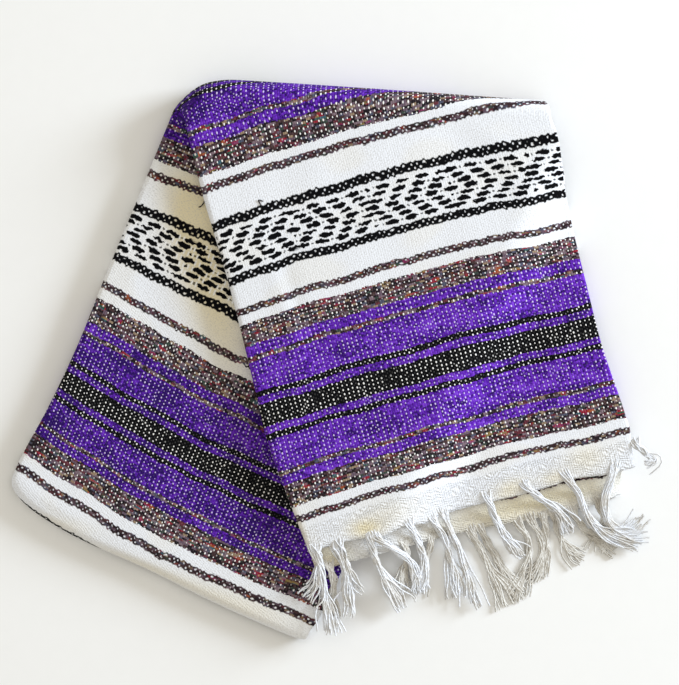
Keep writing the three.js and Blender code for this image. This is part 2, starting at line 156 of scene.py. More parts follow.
# Soft troughs and ridges of the upper face: across, along, half its width, half its
# length, turn in degrees, height.
UPPER_CREASES = (
    (-112, 190, 7, 60, -3, -0.9), (-126, 178, 10, 75, -3, 0.8), (-60, 60, 26, 34, 12, 0.7),
    (20, 105, 34, 60, 4, 0.6), (92, 70, 20, 55, -20, -0.6), (128, 92, 16, 60, -16, 0.9),
    (140, 250, 20, 80, 6, 0.8), (98, 300, 14, 70, 10, -0.6), (-40, 300, 40, 50, -10, 0.6),
    (-140, 330, 18, 60, 0, 0.7), (30, 395, 60, 14, 4, 0.9), (-80, 398, 40, 12, -6, 0.8),
    (120, 400, 30, 12, 8, 0.9),
)
UNDER_CREASES = (
    (-140, 250, 14, 60, 2, 0.7), (-110, 330, 30, 50, -8, 0.6), (-60, 440, 60, 22, -6, 0.8),
    (40, 492, 60, 14, 3, 0.7), (-120, 492, 30, 12, -12, 0.6), (-90, 180, 20, 40, -14, -0.5),
)

# Places where the undyed cotton is painted creamier, as warm shade: beside the upper leg's left
# edge, at its left fold, along the hems and the end fold, and over the lower end beneath the upper
# hem. The columns: across, along, half its width, half its length, turn in degrees, amount.
UPPER_PAINTED_SHADE = (
    (-174, 405, 9, 34, 0, 1.0), (-106, 411, 16, 9, 8, 0.9), (-80, 404, 34, 16, 0, 0.35),
    (45, 413, 18, 10, -6, 0.7), (90, 414, 14, 8, 8, 0.6), (126, 402, 22, 16, 0, 0.5),
)
UNDER_PAINTED_SHADE = (
    (-66, 226, 27, 96, -40, 1.0), (-110, 160, 26, 50, -30, 0.8), (-116, 507, 40, 9, -14, 0.35),
    (-20, 512, 60, 7, -2, 0.4), (90, 508, 70, 12, -3, 0.45),
)
LOWER_PAINTED_SHADE = (
    (60, 432, 120, 18, 0, 0.9), (-150, 432, 22, 26, 0, 0.9),
)


def read(rows, place, column=1):
    """A smooth value from a table's rows, at a place in its first column."""
    keys, values = rows[:, 0], rows[:, column]
    last = len(keys) - 1
    at = np.clip(place, keys[0], keys[last])
    index = np.clip(np.searchsorted(keys, at) - 1, 0, last - 1)
    order = np.arange(last + 1)
    before, after = np.maximum(order - 1, 0), np.minimum(order + 1, last)
    slopes = (values[after] - values[before]) / (keys[after] - keys[before])
    span = keys[index + 1] - keys[index]
    part = (at - keys[index]) / span
    start, end = values[index], values[index + 1]
    leave, arrive = slopes[index] * span, slopes[index + 1] * span
    bend = leave * (1 - part) - arrive * part + (end - start) * (2 * part - 1)
    return start + (end - start) * part + part * (1 - part) * bend


def smooth(share):
    """A soft step from 0 to 1."""
    share = np.clip(share, 0, 1)
    return share * share * (3 - 2 * share)


class Leg:
    """A leg's own directions in plan, and its sides."""

    def __init__(self, lean, sides):
        lean = math.radians(lean)
        self.down = np.array((math.sin(lean), -math.cos(lean)))
        self.across = np.array((math.cos(lean), math.sin(lean)))
        self.sides = sides

    def place(self, share, inset, along):
        """Place across the leg, from a share of its width and an inset from there."""
        left, right = read(self.sides, along, 1), read(self.sides, along, 2)
        return left + share * (right - left) + inset

    def plan(self, across, along):
        """Places in plan, as an array with a last axis of two."""
        return across[..., None] * self.across + along[..., None] * self.down


under = Leg(UNDER_LEAN, UNDER_SIDES)
upper = Leg(UPPER_LEAN, UPPER_SIDES)
lower = Leg(UPPER_LEAN, BENEATH_SIDES)  # the layers under the upper leg

turn_angle = math.radians((UNDER_LEAN + UPPER_LEAN) / 2)
turn_line = np.array((math.cos(turn_angle), math.sin(turn_angle)))
turn_out = np.array((-math.sin(turn_angle), math.cos(turn_angle)))
turn_skew = math.radians((UPPER_LEAN - UNDER_LEAN) / 2)

# The turn's own middle, from the middle of the whole.
pivot = (cad_low + cad_high) / 2 + Vector((21.52 * MM, 258.09 * MM, 0))
pivot.z = cad_low.z


def turn_seam(leg, across):
    """Place along a leg where the turn begins, at a place across it."""
    out = -TURN_FLAT - read(TURN_DRAW, across)
    return (out - across * (leg.across @ turn_out)) / (leg.down @ turn_out)


def meet(leg, line, share, inset):
    """Place along a leg where a line across it meets a column of the cloth."""
    along = np.zeros_like(share)
    for _ in range(8):
        along = line(leg, leg.place(share, inset, along))
    return along


def bed(spots):
    """Height of what the upper leg lies on: the under leg, and a soft ramp to the surface."""
    across, along = spots @ under.across, spots @ under.down
    beside = read(UNDER_SIDES, along, 2) - across
    inside = np.minimum(beside, read(END_FOLD, across) - along)
    ramp = smooth(1 + (inside + RAMP_START) / RAMP)
    held = 1 - smooth(-(spots @ turn_out) / RAMP)
    return BED * np.maximum(ramp, held)


def patches(rows, across, along):
    """The sum of soft patches, each at its own place, size and turn."""
    total = np.zeros_like(across)
    for middle, down, half_width, half_length, turn, amount in rows:
        c, s = math.cos(math.radians(turn)), math.sin(math.radians(turn))
        a, b = across - middle, along - down
        a, b = (c * a + s * b) / half_width, (-s * a + c * b) / half_length
        total += amount * np.exp(-(a * a + b * b))
    return total


def creased(creases, across, along):
    """Height of the troughs and ridges of a face, and the slight swell of loose layers."""
    height = 0.35 * np.sin(across / 29 + 1.1) * np.sin(along / 41 + 0.4)
    height += 0.22 * np.sin(along / 17 + across / 53) + 0.12 * np.sin(across / 9 + along / 25)
    return height + patches(creases, across, along) + 0.5


# ---- The section of four layers ----

FOLD = (3 * LAYER) / 2  # middle radius of the fold of four layers at the left
LOOP = LAYER / 2  # middle radius of the loops of two layers


class Section:
    """The path of the cloth across a leg: in from one selvedge, round the big left fold, over
    the face, round the right loop, back, round the inner left fold and to the other selvedge.
    Each column has a share of the width, an inset, a depth, a rest inset that its bed is read
    at, and its place along the weft as a share of the width and an offset."""

    def __init__(self, face_columns, hidden_columns):
        rows = []

        def flat(depth, start, end, count, left, right, share_sign, share_base, offset, loose):
            for i in range(count + 1):
                part = i / count
                share = start + (end - start) * part
                inset = left + (-right - left) * share
                if share_sign < 0:
                    weft = (share_base - share, offset - inset)
                else:
                    weft = (share_base + share, offset + inset)
                rows.append((share, inset, depth, inset, *weft, loose * share))

        def bend(share, middle, radius, first, side, count, base, offset, rest):
            for i in range(1, count):
                angle = math.pi * i / count
                depth = middle - first * radius * math.cos(angle)
                inset = rest - side * radius * math.sin(angle)
                rows.append((share, inset, depth, rest, base, offset + radius * angle, 0))

        big, small = FOLD + SKIN, LOOP + SKIN
        turn = math.pi * FOLD
        back = math.pi * LOOP
        edge = 1.2
        # The hidden layer with the first selvedge, from right to left.
        flat(SKIN + 3 * LAYER, 1, 0, hidden_columns, big, 2.4, -1, 0, 2 * big - turn, 1.0)
        # The big fold, from the hidden layer up to the face.
        bend(0, SKIN + FOLD, FOLD, -1, 1, 12, 0, big - turn, big)
        # The face, from left to right.
        flat(SKIN, 0, 1, face_columns, big, small + edge, 1, 0, 0, 0.0)
        # The loop of two layers at the right.
        bend(1, SKIN + LOOP, LOOP, 1, -1, 8, 1, -small - edge, -small - edge)
        # The second layer, from right to left, and the loop at its left.
        back -= 2 * (small + edge)
        flat(SKIN + LAYER, 1, 0, hidden_columns, big, small + edge, -1, 2, back, 0.0)
        bend(0, SKIN + 1.5 * LAYER, LOOP, 1, 1, 6, 2, back - big, big)
        # The third layer, from left to its selvedge.
        flat(
            SKIN + 2 * LAYER, 0, 1, hidden_columns, big, 3.2, 1, 2,
            back + math.pi * LOOP - 2 * big, -0.8,
        )
        self.share, self.inset, self.depth, self.rest = np.array(rows)[:, :4].T
        self.weft_share, self.weft_offset, self.loose = np.array(rows)[:, 4:].T

    def across(self, leg, along, inset=None):
        """Place across a leg of each column."""
        wave = 1.3 * np.sin(along / 21 + 2 * self.loose) + 0.9 * np.sin(along / 8.3 - self.loose)
        inset = self.inset if inset is None else inset
        return leg.place(self.share, inset + self.loose * wave, along)

    def weft(self, leg, along):
        """Place along the weft of each column, which on the face is its place across."""
        left, right = read(leg.sides, along, 1), read(leg.sides, along, 2)
        return left + self.weft_share * (right - left) + self.weft_offset


class Cloth:
    """The cloth of one leg: its section, its stripes and their bow, its painted warm shade and
    creases.
    """

    def __init__(self, section, leg, stripes, bow, bow_share, cream=(), creases=()):
        self.section, self.leg, self.stripes = section, leg, stripes
        self.bow, self.bow_share, self.cream, self.creases = bow, bow_share, cream, creases

    def weave(self, along):
        """Places in the weave along and across the weft, and the painted warm shade, for one row.
        """
        across = self.section.across(self.leg, along)
        place = read(self.stripes, along - read(self.bow, across) * read(self.bow_share, along))
        weft = self.section.weft(self.leg, along)
        return np.column_stack((weft, place, patches(self.cream, across, along)))

    def row(self, from_line, to_line, part, level, under_face=False):
        """One row of points and its weave, at a part of the way from one line to another."""
        section, leg = self.section, self.leg
        start = meet(leg, from_line, section.share, section.inset)
        end = meet(leg, to_line, section.share, section.inset)
        along = start + (end - start) * part
        across = section.across(leg, along)
        rest = section.across(leg, along, section.rest)
        depth = -section.depth if under_face else section.depth
        height = level(leg.plan(rest, along)) - depth
        if self.creases:
            height = height + creased(self.creases, across, along) * smooth(part * 12)
        return np.column_stack((leg.plan(across, along), height)), self.weave(along)


def half_turn(wide, high):
    """Length of the cloth round a half turn."""
    return math.pi * math.sqrt((wide ** 2 + high ** 2) / 2)


def on_turn(section, angle, inner):
    """One row of cloth on the turn, and its seam on the upper leg. The angle is 90 on the upper
    leg and -90 on the under leg."""
    seams = [meet(leg, turn_seam, section.share, section.inset) for leg in (under, upper)]
    below, above = [section.across(leg, seam) for leg, seam in zip((under, upper), seams)]
    turned, out = math.sin(math.radians(angle)), math.cos(math.radians(angle))
    depth = LEG - section.depth if inner else section.depth
    across = below + (above - below) * (turned + 1) / 2
    draw = read(TURN_DRAW, across)
    # The cloth runs flat from the seam to the turn's own line.
    flat = TURN_FLAT * (1 - smooth((90 - abs(angle)) / 25))
    reach = TURN_REACH * (1 - depth / TURN_CORE) * out - flat
    run = math.copysign(1, turned) * flat
    place = across / math.cos(turn_skew) + math.tan(turn_skew) * (draw * turned + run)
    spots = place[:, None] * turn_line + (reach - draw)[:, None] * turn_out
    rise = TURN_RISE - depth
    height = TURN_RISE + (rise if inner else np.abs(rise)) * turned
    return np.column_stack((spots, height)), seams[1]


def end_line(_, across):
    """Place along the under leg where the end fold begins, at a place across it."""
    return read(END_FOLD, across) - END_DEPTH


def on_end_fold(section, angle):
    """One row of cloth on the end fold, from 90 on top to -90 at the surface, and its seam."""
    turned, out = math.sin(math.radians(angle)), math.cos(math.radians(angle))
    flat = meet(under, end_line, section.share, section.inset)
    across = section.across(under, flat)
    along = flat + END_DEPTH * (1 - section.depth / HALF_LEG) * out
    height = HALF_LEG + (HALF_LEG - section.depth) * turned
    puff = 0.5 * np.sin(across / 23) * out
    return np.column_stack((under.plan(across, along + puff), height)), flat


# ---- Meshes ----


def add_object(name, data):
    """An object in the scene, unturned and at the origin."""
    made = bpy.data.objects.new(name, data)
    bpy.context.scene.collection.objects.link(made)
    return made


def woven_mesh(name, points, faces, material, weave):
    """A mesh in metres with its place in it, the weave's own map and the painted warm shade."""
    mesh = bpy.data.meshes.new(name)
    mesh.from_pydata((points * MM + np.array(pivot)).tolist(), [], faces.tolist())
    layer = mesh.uv_layers.new(name="weave")
    corners = np.zeros(len(mesh.loops), np.int32)
    mesh.loops.foreach_get("vertex_index", corners)
    layer.data.foreach_set("uv", (weave[corners, :2] * MM).astype(np.float32).ravel())
    # The painted warm shade of each point, from the tables of places.
    cream = mesh.attributes.new("cream", "FLOAT", "POINT")
    cream.data.foreach_set("value", np.clip(weave[:, 2], 0, 1).astype(np.float32))
    mesh.polygons.foreach_set("use_smooth", np.ones(len(mesh.polygons), bool))
    mesh.materials.append(material)
    mesh.update()
    return mesh


def woven_sheet(name, rows, material, face_row, face_column, up):
    """A sheet of cloth from its rows, with a thickness. The face at the given row and column
    looks up or down."""
    points = np.array([row[0] for row in rows])
    weave = np.array([row[1] for row in rows])
    count, columns = points.shape[:2]
    index = np.arange(count * columns).reshape(count, columns)
    faces = np.stack((index[:-1, :-1], index[:-1, 1:], index[1:, 1:], index[1:, :-1]), -1)
    corner = points[face_row, face_column]
    side = points[face_row, face_column + 1] - corner
    down = points[face_row + 1, face_column] - corner
    if (np.cross(side, down)[2] > 0) != up:
        faces = faces[..., ::-1]
    points, faces, weave = points.reshape(-1, 3), faces.reshape(-1, 4), weave.reshape(-1, 3)
    piece = add_object(name, woven_mesh(name, points, faces, material, weave))
    shell = piece.modifiers.new("cloth thickness", "SOLIDIFY")
    shell.thickness = CLOTH * MM
    shell.offset = 0
    shell.use_even_offset = False
    shell.use_rim = True
    return piece


# ---- Node trees ----


def operator(operation):
    """An operator of Value, and the same with its two sides changed over."""
    return (
        lambda one, other: one.tree.math(operation, one, other),
        lambda one, other: one.tree.math(operation, other, one),
    )


class Value:
    """What a node gives out, which adds, multiplies and compares as a number does."""

    def __init__(self, tree, socket):
        self.tree, self.socket = tree, socket

    __add__, __radd__ = operator("ADD")
    __sub__, __rsub__ = operator("SUBTRACT")
    __mul__, __rmul__ = operator("MULTIPLY")
    __truediv__, _ = operator("DIVIDE")
    __gt__, _ = operator("GREATER_THAN")
    __lt__, _ = operator("LESS_THAN")

    def __abs__(self):
        return self.tree.math("ABSOLUTE", self)

    def __floor__(self):
        return self.tree.math("FLOOR", self)

    def __round__(self):
        return self.tree.math("ROUND", self)


class Tree:
    """A node tree whose nodes are made with their inputs. A tuple is a colour."""

    def __init__(self, tree):
        self.nodes, self.links = tree.nodes, tree.links

    def link(self, value, socket):
        value = getattr(value, "socket", value)
        if isinstance(value, bpy.types.NodeSocket):
            self.links.new(value, socket)
        else:
            socket.default_value = (*value, 1.0) if isinstance(value, tuple) else value

    def node(self, kind, inputs=(), **settings):
        """A node with its settings, and its inputs in their order or by name."""
        made = self.nodes.new(kind)
        for key, value in settings.items():
            setattr(made, key, value)
        for key, value in inputs.items() if isinstance(inputs, dict) else enumerate(inputs):
            self.link(value, made.inputs[key])
        return made

    def values(self, made):
        """The outputs of a node, by name."""
        return {socket.name: Value(self, socket) for socket in made.outputs}

    def math(self, operation, *values):
        return Value(self, self.node("ShaderNodeMath", values, operation=operation).outputs[0])

    def fraction(self, value):
        return self.math("FRACT", value)

    def far(self, x, y):
        """How far a place is from the middle."""
        return self.math("SQRT", x * x + y * y)

    def step(self, value, low, high):
        """0 below low and 1 above high, softly. High may be the smaller."""
        ends = (high, low, 1.0, 0.0) if low > high else (low, high, 0.0, 1.0)
        inputs = dict(zip(("Value", "From Min", "From Max", "To Min", "To Max"), (value, *ends)))
        made = self.node("ShaderNodeMapRange", inputs, interpolation_type="SMOOTHSTEP")
        return Value(self, made.outputs["Result"])

    def join(self, *numbers):
        return self.node("ShaderNodeCombineXYZ", numbers).outputs[0]

    def split(self, kind, output, **settings):
        """The first two parts of the place that a node gives out."""
        place = self.node(kind, **settings).outputs[output]
        made = self.node("ShaderNodeSeparateXYZ", (place,))
        return [Value(self, socket) for socket in made.outputs[:2]]

    def noise(self, x, y, scale=1.0, detail=0.0, roughness=0.5):
        """Soft noise over a plane."""
        return Value(self, self.node("ShaderNodeTexNoise", {
            "Vector": self.join(x, y), "Scale": scale, "Detail": detail, "Roughness": roughness,
        }, noise_dimensions="2D").outputs[0])

    def chance(self, *numbers):
        """A seeded chance from 0 to 1, the same wherever the numbers are the same."""
        inputs = {"Vector": self.join(*numbers)}
        made = self.node("ShaderNodeTexWhiteNoise", inputs, noise_dimensions="3D")
        return Value(self, made.outputs["Value"])

    def attribute(self, name):
        return Value(self, self.node("ShaderNodeAttribute", attribute_name=name).outputs["Fac"])

    def mix(self, share, one, other):
        inputs = {0: share, 6: one, 7: other}
        return self.node("ShaderNodeMix", inputs, data_type="RGBA").outputs[2]

    def ramp(self, value, stops):
        """Colours in steps, each from its own stop on. The first stop is at 0."""
        made = self.node("ShaderNodeValToRGB", (value,))
        made.color_ramp.interpolation = "CONSTANT"
        elements = made.color_ramp.elements
        elements.remove(elements[-1])
        for stop, colour in stops:
            element = elements.new(stop) if stop else elements[0]
            element.color = (*colour, 1)
        return made.outputs[0]

    def group(self, group, **values):
        """A placed group's outputs by name. Its inputs are named with _ for a space."""
        inputs = {key.replace("_", " "): value for key, value in values.items()}
        return self.values(self.node("ShaderNodeGroup", inputs, node_tree=group))

    def bump(self, height, strength, distance, shader):
        inputs = {"Height": height, "Strength": strength, "Distance": distance}
        self.link(self.node("ShaderNodeBump", inputs).outputs[0], shader.inputs["Normal"])


def shader_group(name, inputs, outputs):
    """Makes the function below it a named group. The function takes the group's inputs and
    gives its outputs, each in their order."""

    def build(function):
        tree = bpy.data.node_groups.new(name, "ShaderNodeTree")
        for way, keys in (("INPUT", inputs), ("OUTPUT", outputs)):
            for key in keys:
                sort = "NodeSocketColor" if key == "Colour" else "NodeSocketFloat"
                socket = tree.interface.new_socket(name=key, in_out=way, socket_type=sort)
                if way == "INPUT":
                    socket.default_value = inputs[key]
        t = Tree(tree)
        given = t.values(t.node("NodeGroupInput"))
        t.node("NodeGroupOutput", dict(zip(outputs, function(t, *(given[key] for key in inputs)))))
        return tree

    return build


# ---- Shader groups, in millimetres across and along the blanket ----

PLACE = {"Across": 0.0, "Along": 0.0}
REPEAT = 333.0  # from one diamond band to the next
END_BANDS = 950.0  # where the bare bands of the two ends begin
CHAINS = 123.0  # from the middle of a black band to halfway between two chain stripes
FROM_CHAINS = 15.0  # from there to the middle of each
DIAMONDS = 139.0  # from the middle of a black band to the edge of a diamond band


@shader_group("Wandering Weft", PLACE, ("Along",))
def raggedness(t, across, along):
    """The weft doesn't lie quite straight, so a stripe's edge wanders from warp to warp."""
    warp = math.floor(across / 2.3)
    jump = t.chance(warp, math.floor(along / 9.0)) - 0.5
    slow = t.noise(across / 38.0, along / 70.0) - 0.5
    return [along + (jump * 1.3 + slow * 4.0)]


@shader_group("Stripe Plan", {"Along": 0.0}, (
    "Purple", "Black", "Recycled", "Black Chain", "From Chain", "From Diamond Band",
    "Has Diamonds", "End Band",
))
def stripe_plan(t, along):
    """Masks of the solid stripes, and the way to the others. The order repeats and mirrors at
    the middle of each black band and of each diamond band. The bands at the two ends are bare."""
    far = t.math("PINGPONG", along + REPEAT / 2, REPEAT / 2)
    ends = t.step(abs(along), END_BANDS, END_BANDS + 1)
    purple, black, recycled, bare = (1, 0, 0), (0, 1, 0), (0, 0, 1), (0, 0, 0)
    whole = 170.0
    masks = t.ramp(far / whole, [(start / whole, mask) for start, mask in (
        (0, black), (11, purple), (18.5, black), (24.5, purple), (56, recycled), (61, purple),
        (70, recycled), (94, bare),
    )])
    return (
        *t.node("ShaderNodeSeparateColor", (masks,)).outputs,
        far > CHAINS,
        abs(far - CHAINS) - FROM_CHAINS,
        along - round(along / REPEAT) * REPEAT,
        (1.0 - ends) * t.step(far, DIAMONDS, DIAMONDS + 0.5),
        ends,
    )


@shader_group("Warp Dots", {**PLACE, "Warp Pitch": 2.35, "Weft Pitch": 4.2}, (
    "Dots", "Weave", "Tone",
))
def warp_dots(t, across, along, warp_pitch, weft_pitch):
    """Where each white warp end comes up over a coloured weft, staggered from end to end. In
    places one set of ends shows more than the other, and some ends sink out of sight."""
    warps = across / warp_pitch
    end = math.floor(warps)
    odd = t.math("MODULO", abs(end), 2.0)
    drift = t.chance(end, 3.0) * 0.3
    wefts = along / weft_pitch + odd * 0.5 + drift
    cell = math.floor(wefts)
    luck, other = t.chance(end, cell, 7.0), t.chance(end, cell, 9.0)
    x = t.fraction(warps) - (0.5 + (luck - 0.5) * 0.2)
    y = t.fraction(wefts) - (0.5 + (other - 0.5) * 0.2)
    grow = 0.8 + other * 0.5
    dot = t.step(t.far(x / (grow * 0.33), y / (grow * 0.24)), 1.15, 0.55)
    patch = t.noise(across / 30.0, along / 26.0)
    favour = (t.noise(across / 24.0, along / 19.0) - 0.5) * (odd * 2.0 - 1.0)
    column = t.chance(end, math.floor(along / 60.0), 11.0)
    chance = luck * 0.45 + column * 0.25 + ((patch - 0.5) * 0.8 + favour * 5.0)
    strength = t.step(chance, 0.3, 0.72)
    hill = t.math("COSINE", (t.fraction(wefts) - 0.5) * (2 * math.pi))
    valley = t.math("COSINE", (t.fraction(warps) - 0.5) * (2 * math.pi))
    return (
        dot * (0.03 + strength * 0.97),
        0.5 + 0.25 * (hill * 0.6 + valley),
        t.chance(end, math.floor(wefts * 2.0), 13.0),
    )


@shader_group("Chain Stripe", {
    "Across": 0.0, "Off Middle": 0.0, "Half Width": 3.6, "Link": 8.4, "Hole": 1.2,
}, ("Links", "Rise", "Luck"))
def chain(t, across, off_middle, half_width, link, hole):
    """A stripe of twisted wefts that looks like two rows of small links, with the white ground
    in each link. The links are uneven, and some are closed."""
    wander = t.noise(across / 12.0, 5.0) - 0.5
    place = off_middle + wander * 2.0
    ring = (across + wander * 7.0) / link
    beat = t.math("COSINE", ring * (2 * math.pi))
    side = t.math("SIGN", place)
    edge = half_width + (beat * side) * (half_width * 0.11)
    band = t.step(abs(place) - edge, 0.55, -0.45)
    stagger = ring + (place > 0.0) * 0.5
    number = math.floor(stagger)
    luck, other = t.chance(number, side, 2.0), t.chance(number, side, 6.0)
    x = (t.fraction(stagger) - 0.5 + (other - 0.5) * 0.2) * link
    y = (abs(place) - half_width * (0.37 + luck * 0.08)) * 1.15
    size = hole * (0.6 + luck * 0.6)
    ground = t.step(t.far(x, y) - size, 0.5, -0.4) * t.step(luck, 0.0, 0.2)
    return band * (1.0 - ground * 0.95), band * (1.0 - ground), other


@shader_group("Diamond Chart", {"Across": 0.0, "Off Middle": 0.0}, ("Dashes", "Ticks"))
def diamonds(t, across, off_middle):
    """Seven rows of dashes, set out so that they make nested diamonds."""
    row_height, pitch, shift = 6.2, 20.25, 5.3
    half_diamond = 4 * pitch
    mirror = -15.0  # where one diamond's middle is
    row = round(off_middle / row_height)
    off_row = off_middle - row * row_height
    inside = abs(row) < 3.5
    luck = t.chance(row, math.floor(across / 9.0), 1.0)
    ring = t.math("PINGPONG", across + (11 * half_diamond - mirror), half_diamond)
    steps = (ring + abs(row) * shift) / pitch
    dash = round(steps)
    off = (steps - dash) * pitch
    x = off / (6.9 + t.chance(row, dash, 5.0) * 1.8)
    x = x * x
    x = x * 0.45 + (x * x) * 0.55
    lift = (t.noise(across / 5.0, off_middle / 2.6) - 0.5) * 2.8
    y = (off_row + lift) / (1.75 + t.chance(row, dash, 6.0) * 1.15)
    dashes = t.step(x + abs(y), 1.15, 0.85)
    between = abs(off) - pitch / 2
    speck_x, speck_y = between / 1.5, off_row / 1.2
    speck = t.step(speck_x * speck_x + speck_y * speck_y, 1.2, 0.5) * (luck > 0.5)
    tick = t.step(abs(abs(between) - 2.3), 1.1, 0.4) * t.step(abs(off_row), 3.0, 1.8)
    return inside * t.math("MAXIMUM", dashes, speck * 0.8), inside * tick


@shader_group("Recycled Yarn", PLACE, ("Colour",))
def recycled(t, across, along):
    """Yarn spun from sorted clippings: grey and brown, with short lengths of other colours."""
    pick = math.floor(along / 2.0)
    length = math.floor((across + t.chance(pick, 1.0) * 40.0) / 4.6)
    patch = t.noise(across / 16.0, along / 7.0, detail=2.0)
    ground = t.ramp(t.chance(pick, length, 2.0), (
        (0, (0.014, 0.010, 0.014)),
        (0.24, (0.060, 0.032, 0.034)),
        (0.40, (0.130, 0.088, 0.122)),
        (0.54, (0.024, 0.014, 0.018)),
        (0.66, (0.195, 0.138, 0.165)),
        (0.76, (0.120, 0.028, 0.040)),
        (0.84, (0.075, 0.080, 0.125)),
        (0.91, (0.290, 0.210, 0.140)),
        (0.96, (0.040, 0.060, 0.050)),
    ))
    fleck = t.ramp(t.chance(math.floor(across / 7.0), pick, 8.0), (
        (0, (0.340, 0.015, 0.035)),
        (0.30, (0.420, 0.100, 0.025)),
        (0.42, (0.040, 0.130, 0.170)),
        (0.56, (0.035, 0.100, 0.060)),
        (0.68, (0.260, 0.030, 0.120)),
        (0.86, (0.330, 0.230, 0.080)),
    ))
    return [t.mix(t.step(patch, 0.60, 0.70) * 0.75, ground, fleck)]


@shader_group("Undyed Cotton", {**PLACE, "Loose": 0.0}, ("Height", "Shade", "Cream"))
def cotton(t, across, along, loose):
    """Undyed cotton: fine wavering picks, faint warp lines and slow patches of cream. Loose
    cloth near a hem has coarse and wavy picks. Shade gives where painted shade falls in the low
    places between slubs and in the ripples."""
    wander = t.noise(across / 9.0, along / 9.0)
    pick = t.math("SINE", along * 2.6 + (across * 0.9 + wander * 9.0))
    sway = t.noise(across / 9.0, along / 8.0)
    wave = t.math("SINE", along * 1.9 + sway * 13.0)
    warp = t.math("SINE", across * 2.73)
    slub = t.noise(across / 2.2, along / 0.9, detail=1.0)
    ripple = (wave * loose) * (0.35 + slub)
    return (
        pick * 0.25 + (warp * 0.18 + slub) + ripple * 0.75,
        slub + ripple * 0.10,
        t.step(t.noise(across / 60.0, along / 28.0), 0.5, 0.75),
    )


@shader_group("Twisted Yarn", {"Along": 0.0, "Around": 0.0, "X": 0.0, "Y": 0.0}, (
    "Shade", "Height",
))
def twist(t, along, around, x, y):
    """Two soft plies of yarn, with painted shade in the groove between them, fluff over them and
    a slow change from yarn to yarn. Its measures are in metres, but Around is a share of the turn."""
    twist_length = 0.0052
    ply = t.math("SINE", along * (2 * math.pi / twist_length) + around * (4 * math.pi))
    fluff = t.noise(along * 1100.0, around * 6.0, detail=1.0)
    slow = t.step(t.noise(x, y, 60.0, 1.0), 0.42, 0.68) * 0.55
    return t.step(ply, -0.1, -1.0) * 0.3 + slow, ply * 0.35 + fluff


# ---- Materials ----

WHITE = (0.830, 0.850, 0.905)
# Cream of the undyed cotton, also the colour of its painted warm shade.
CREAM_AND_PAINTED_SHADE = (0.800, 0.715, 0.500)
# Painted shade in the grooves of the undyed cotton.
GROOVE_SHADE = (0.470, 0.465, 0.470)
PURPLE = (0.094, 0.013, 0.370)
PURPLE_DEEP = (0.022, 0.004, 0.110)
PURPLE_LIGHT = (0.185, 0.045, 0.600)
BLACK = (0.002, 0.002, 0.003)
BROWN = (0.040, 0.020, 0.022)
WARP_END = (0.96, 0.95, 0.92)
STAINED_END = (0.68, 0.52, 0.97)  # a warp end between purple wefts
TICK = (0.90, 0.91, 0.93)


def new_material(name, roughness, sheen):
    """A material with its shader, and a tree to write the rest in."""
    material = bpy.data.materials.new(name)
    material.use_nodes = True
    t = Tree(material.node_tree)
    t.nodes.clear()
    shader = t.node("ShaderNodeBsdfPrincipled", {
        "Roughness": roughness, "Sheen Weight": sheen, "Sheen Roughness": 0.6,
        "Specular IOR Level": 0.06,
    })
    t.node("ShaderNodeOutputMaterial", (shader.outputs[0],))
    return material, t, shader


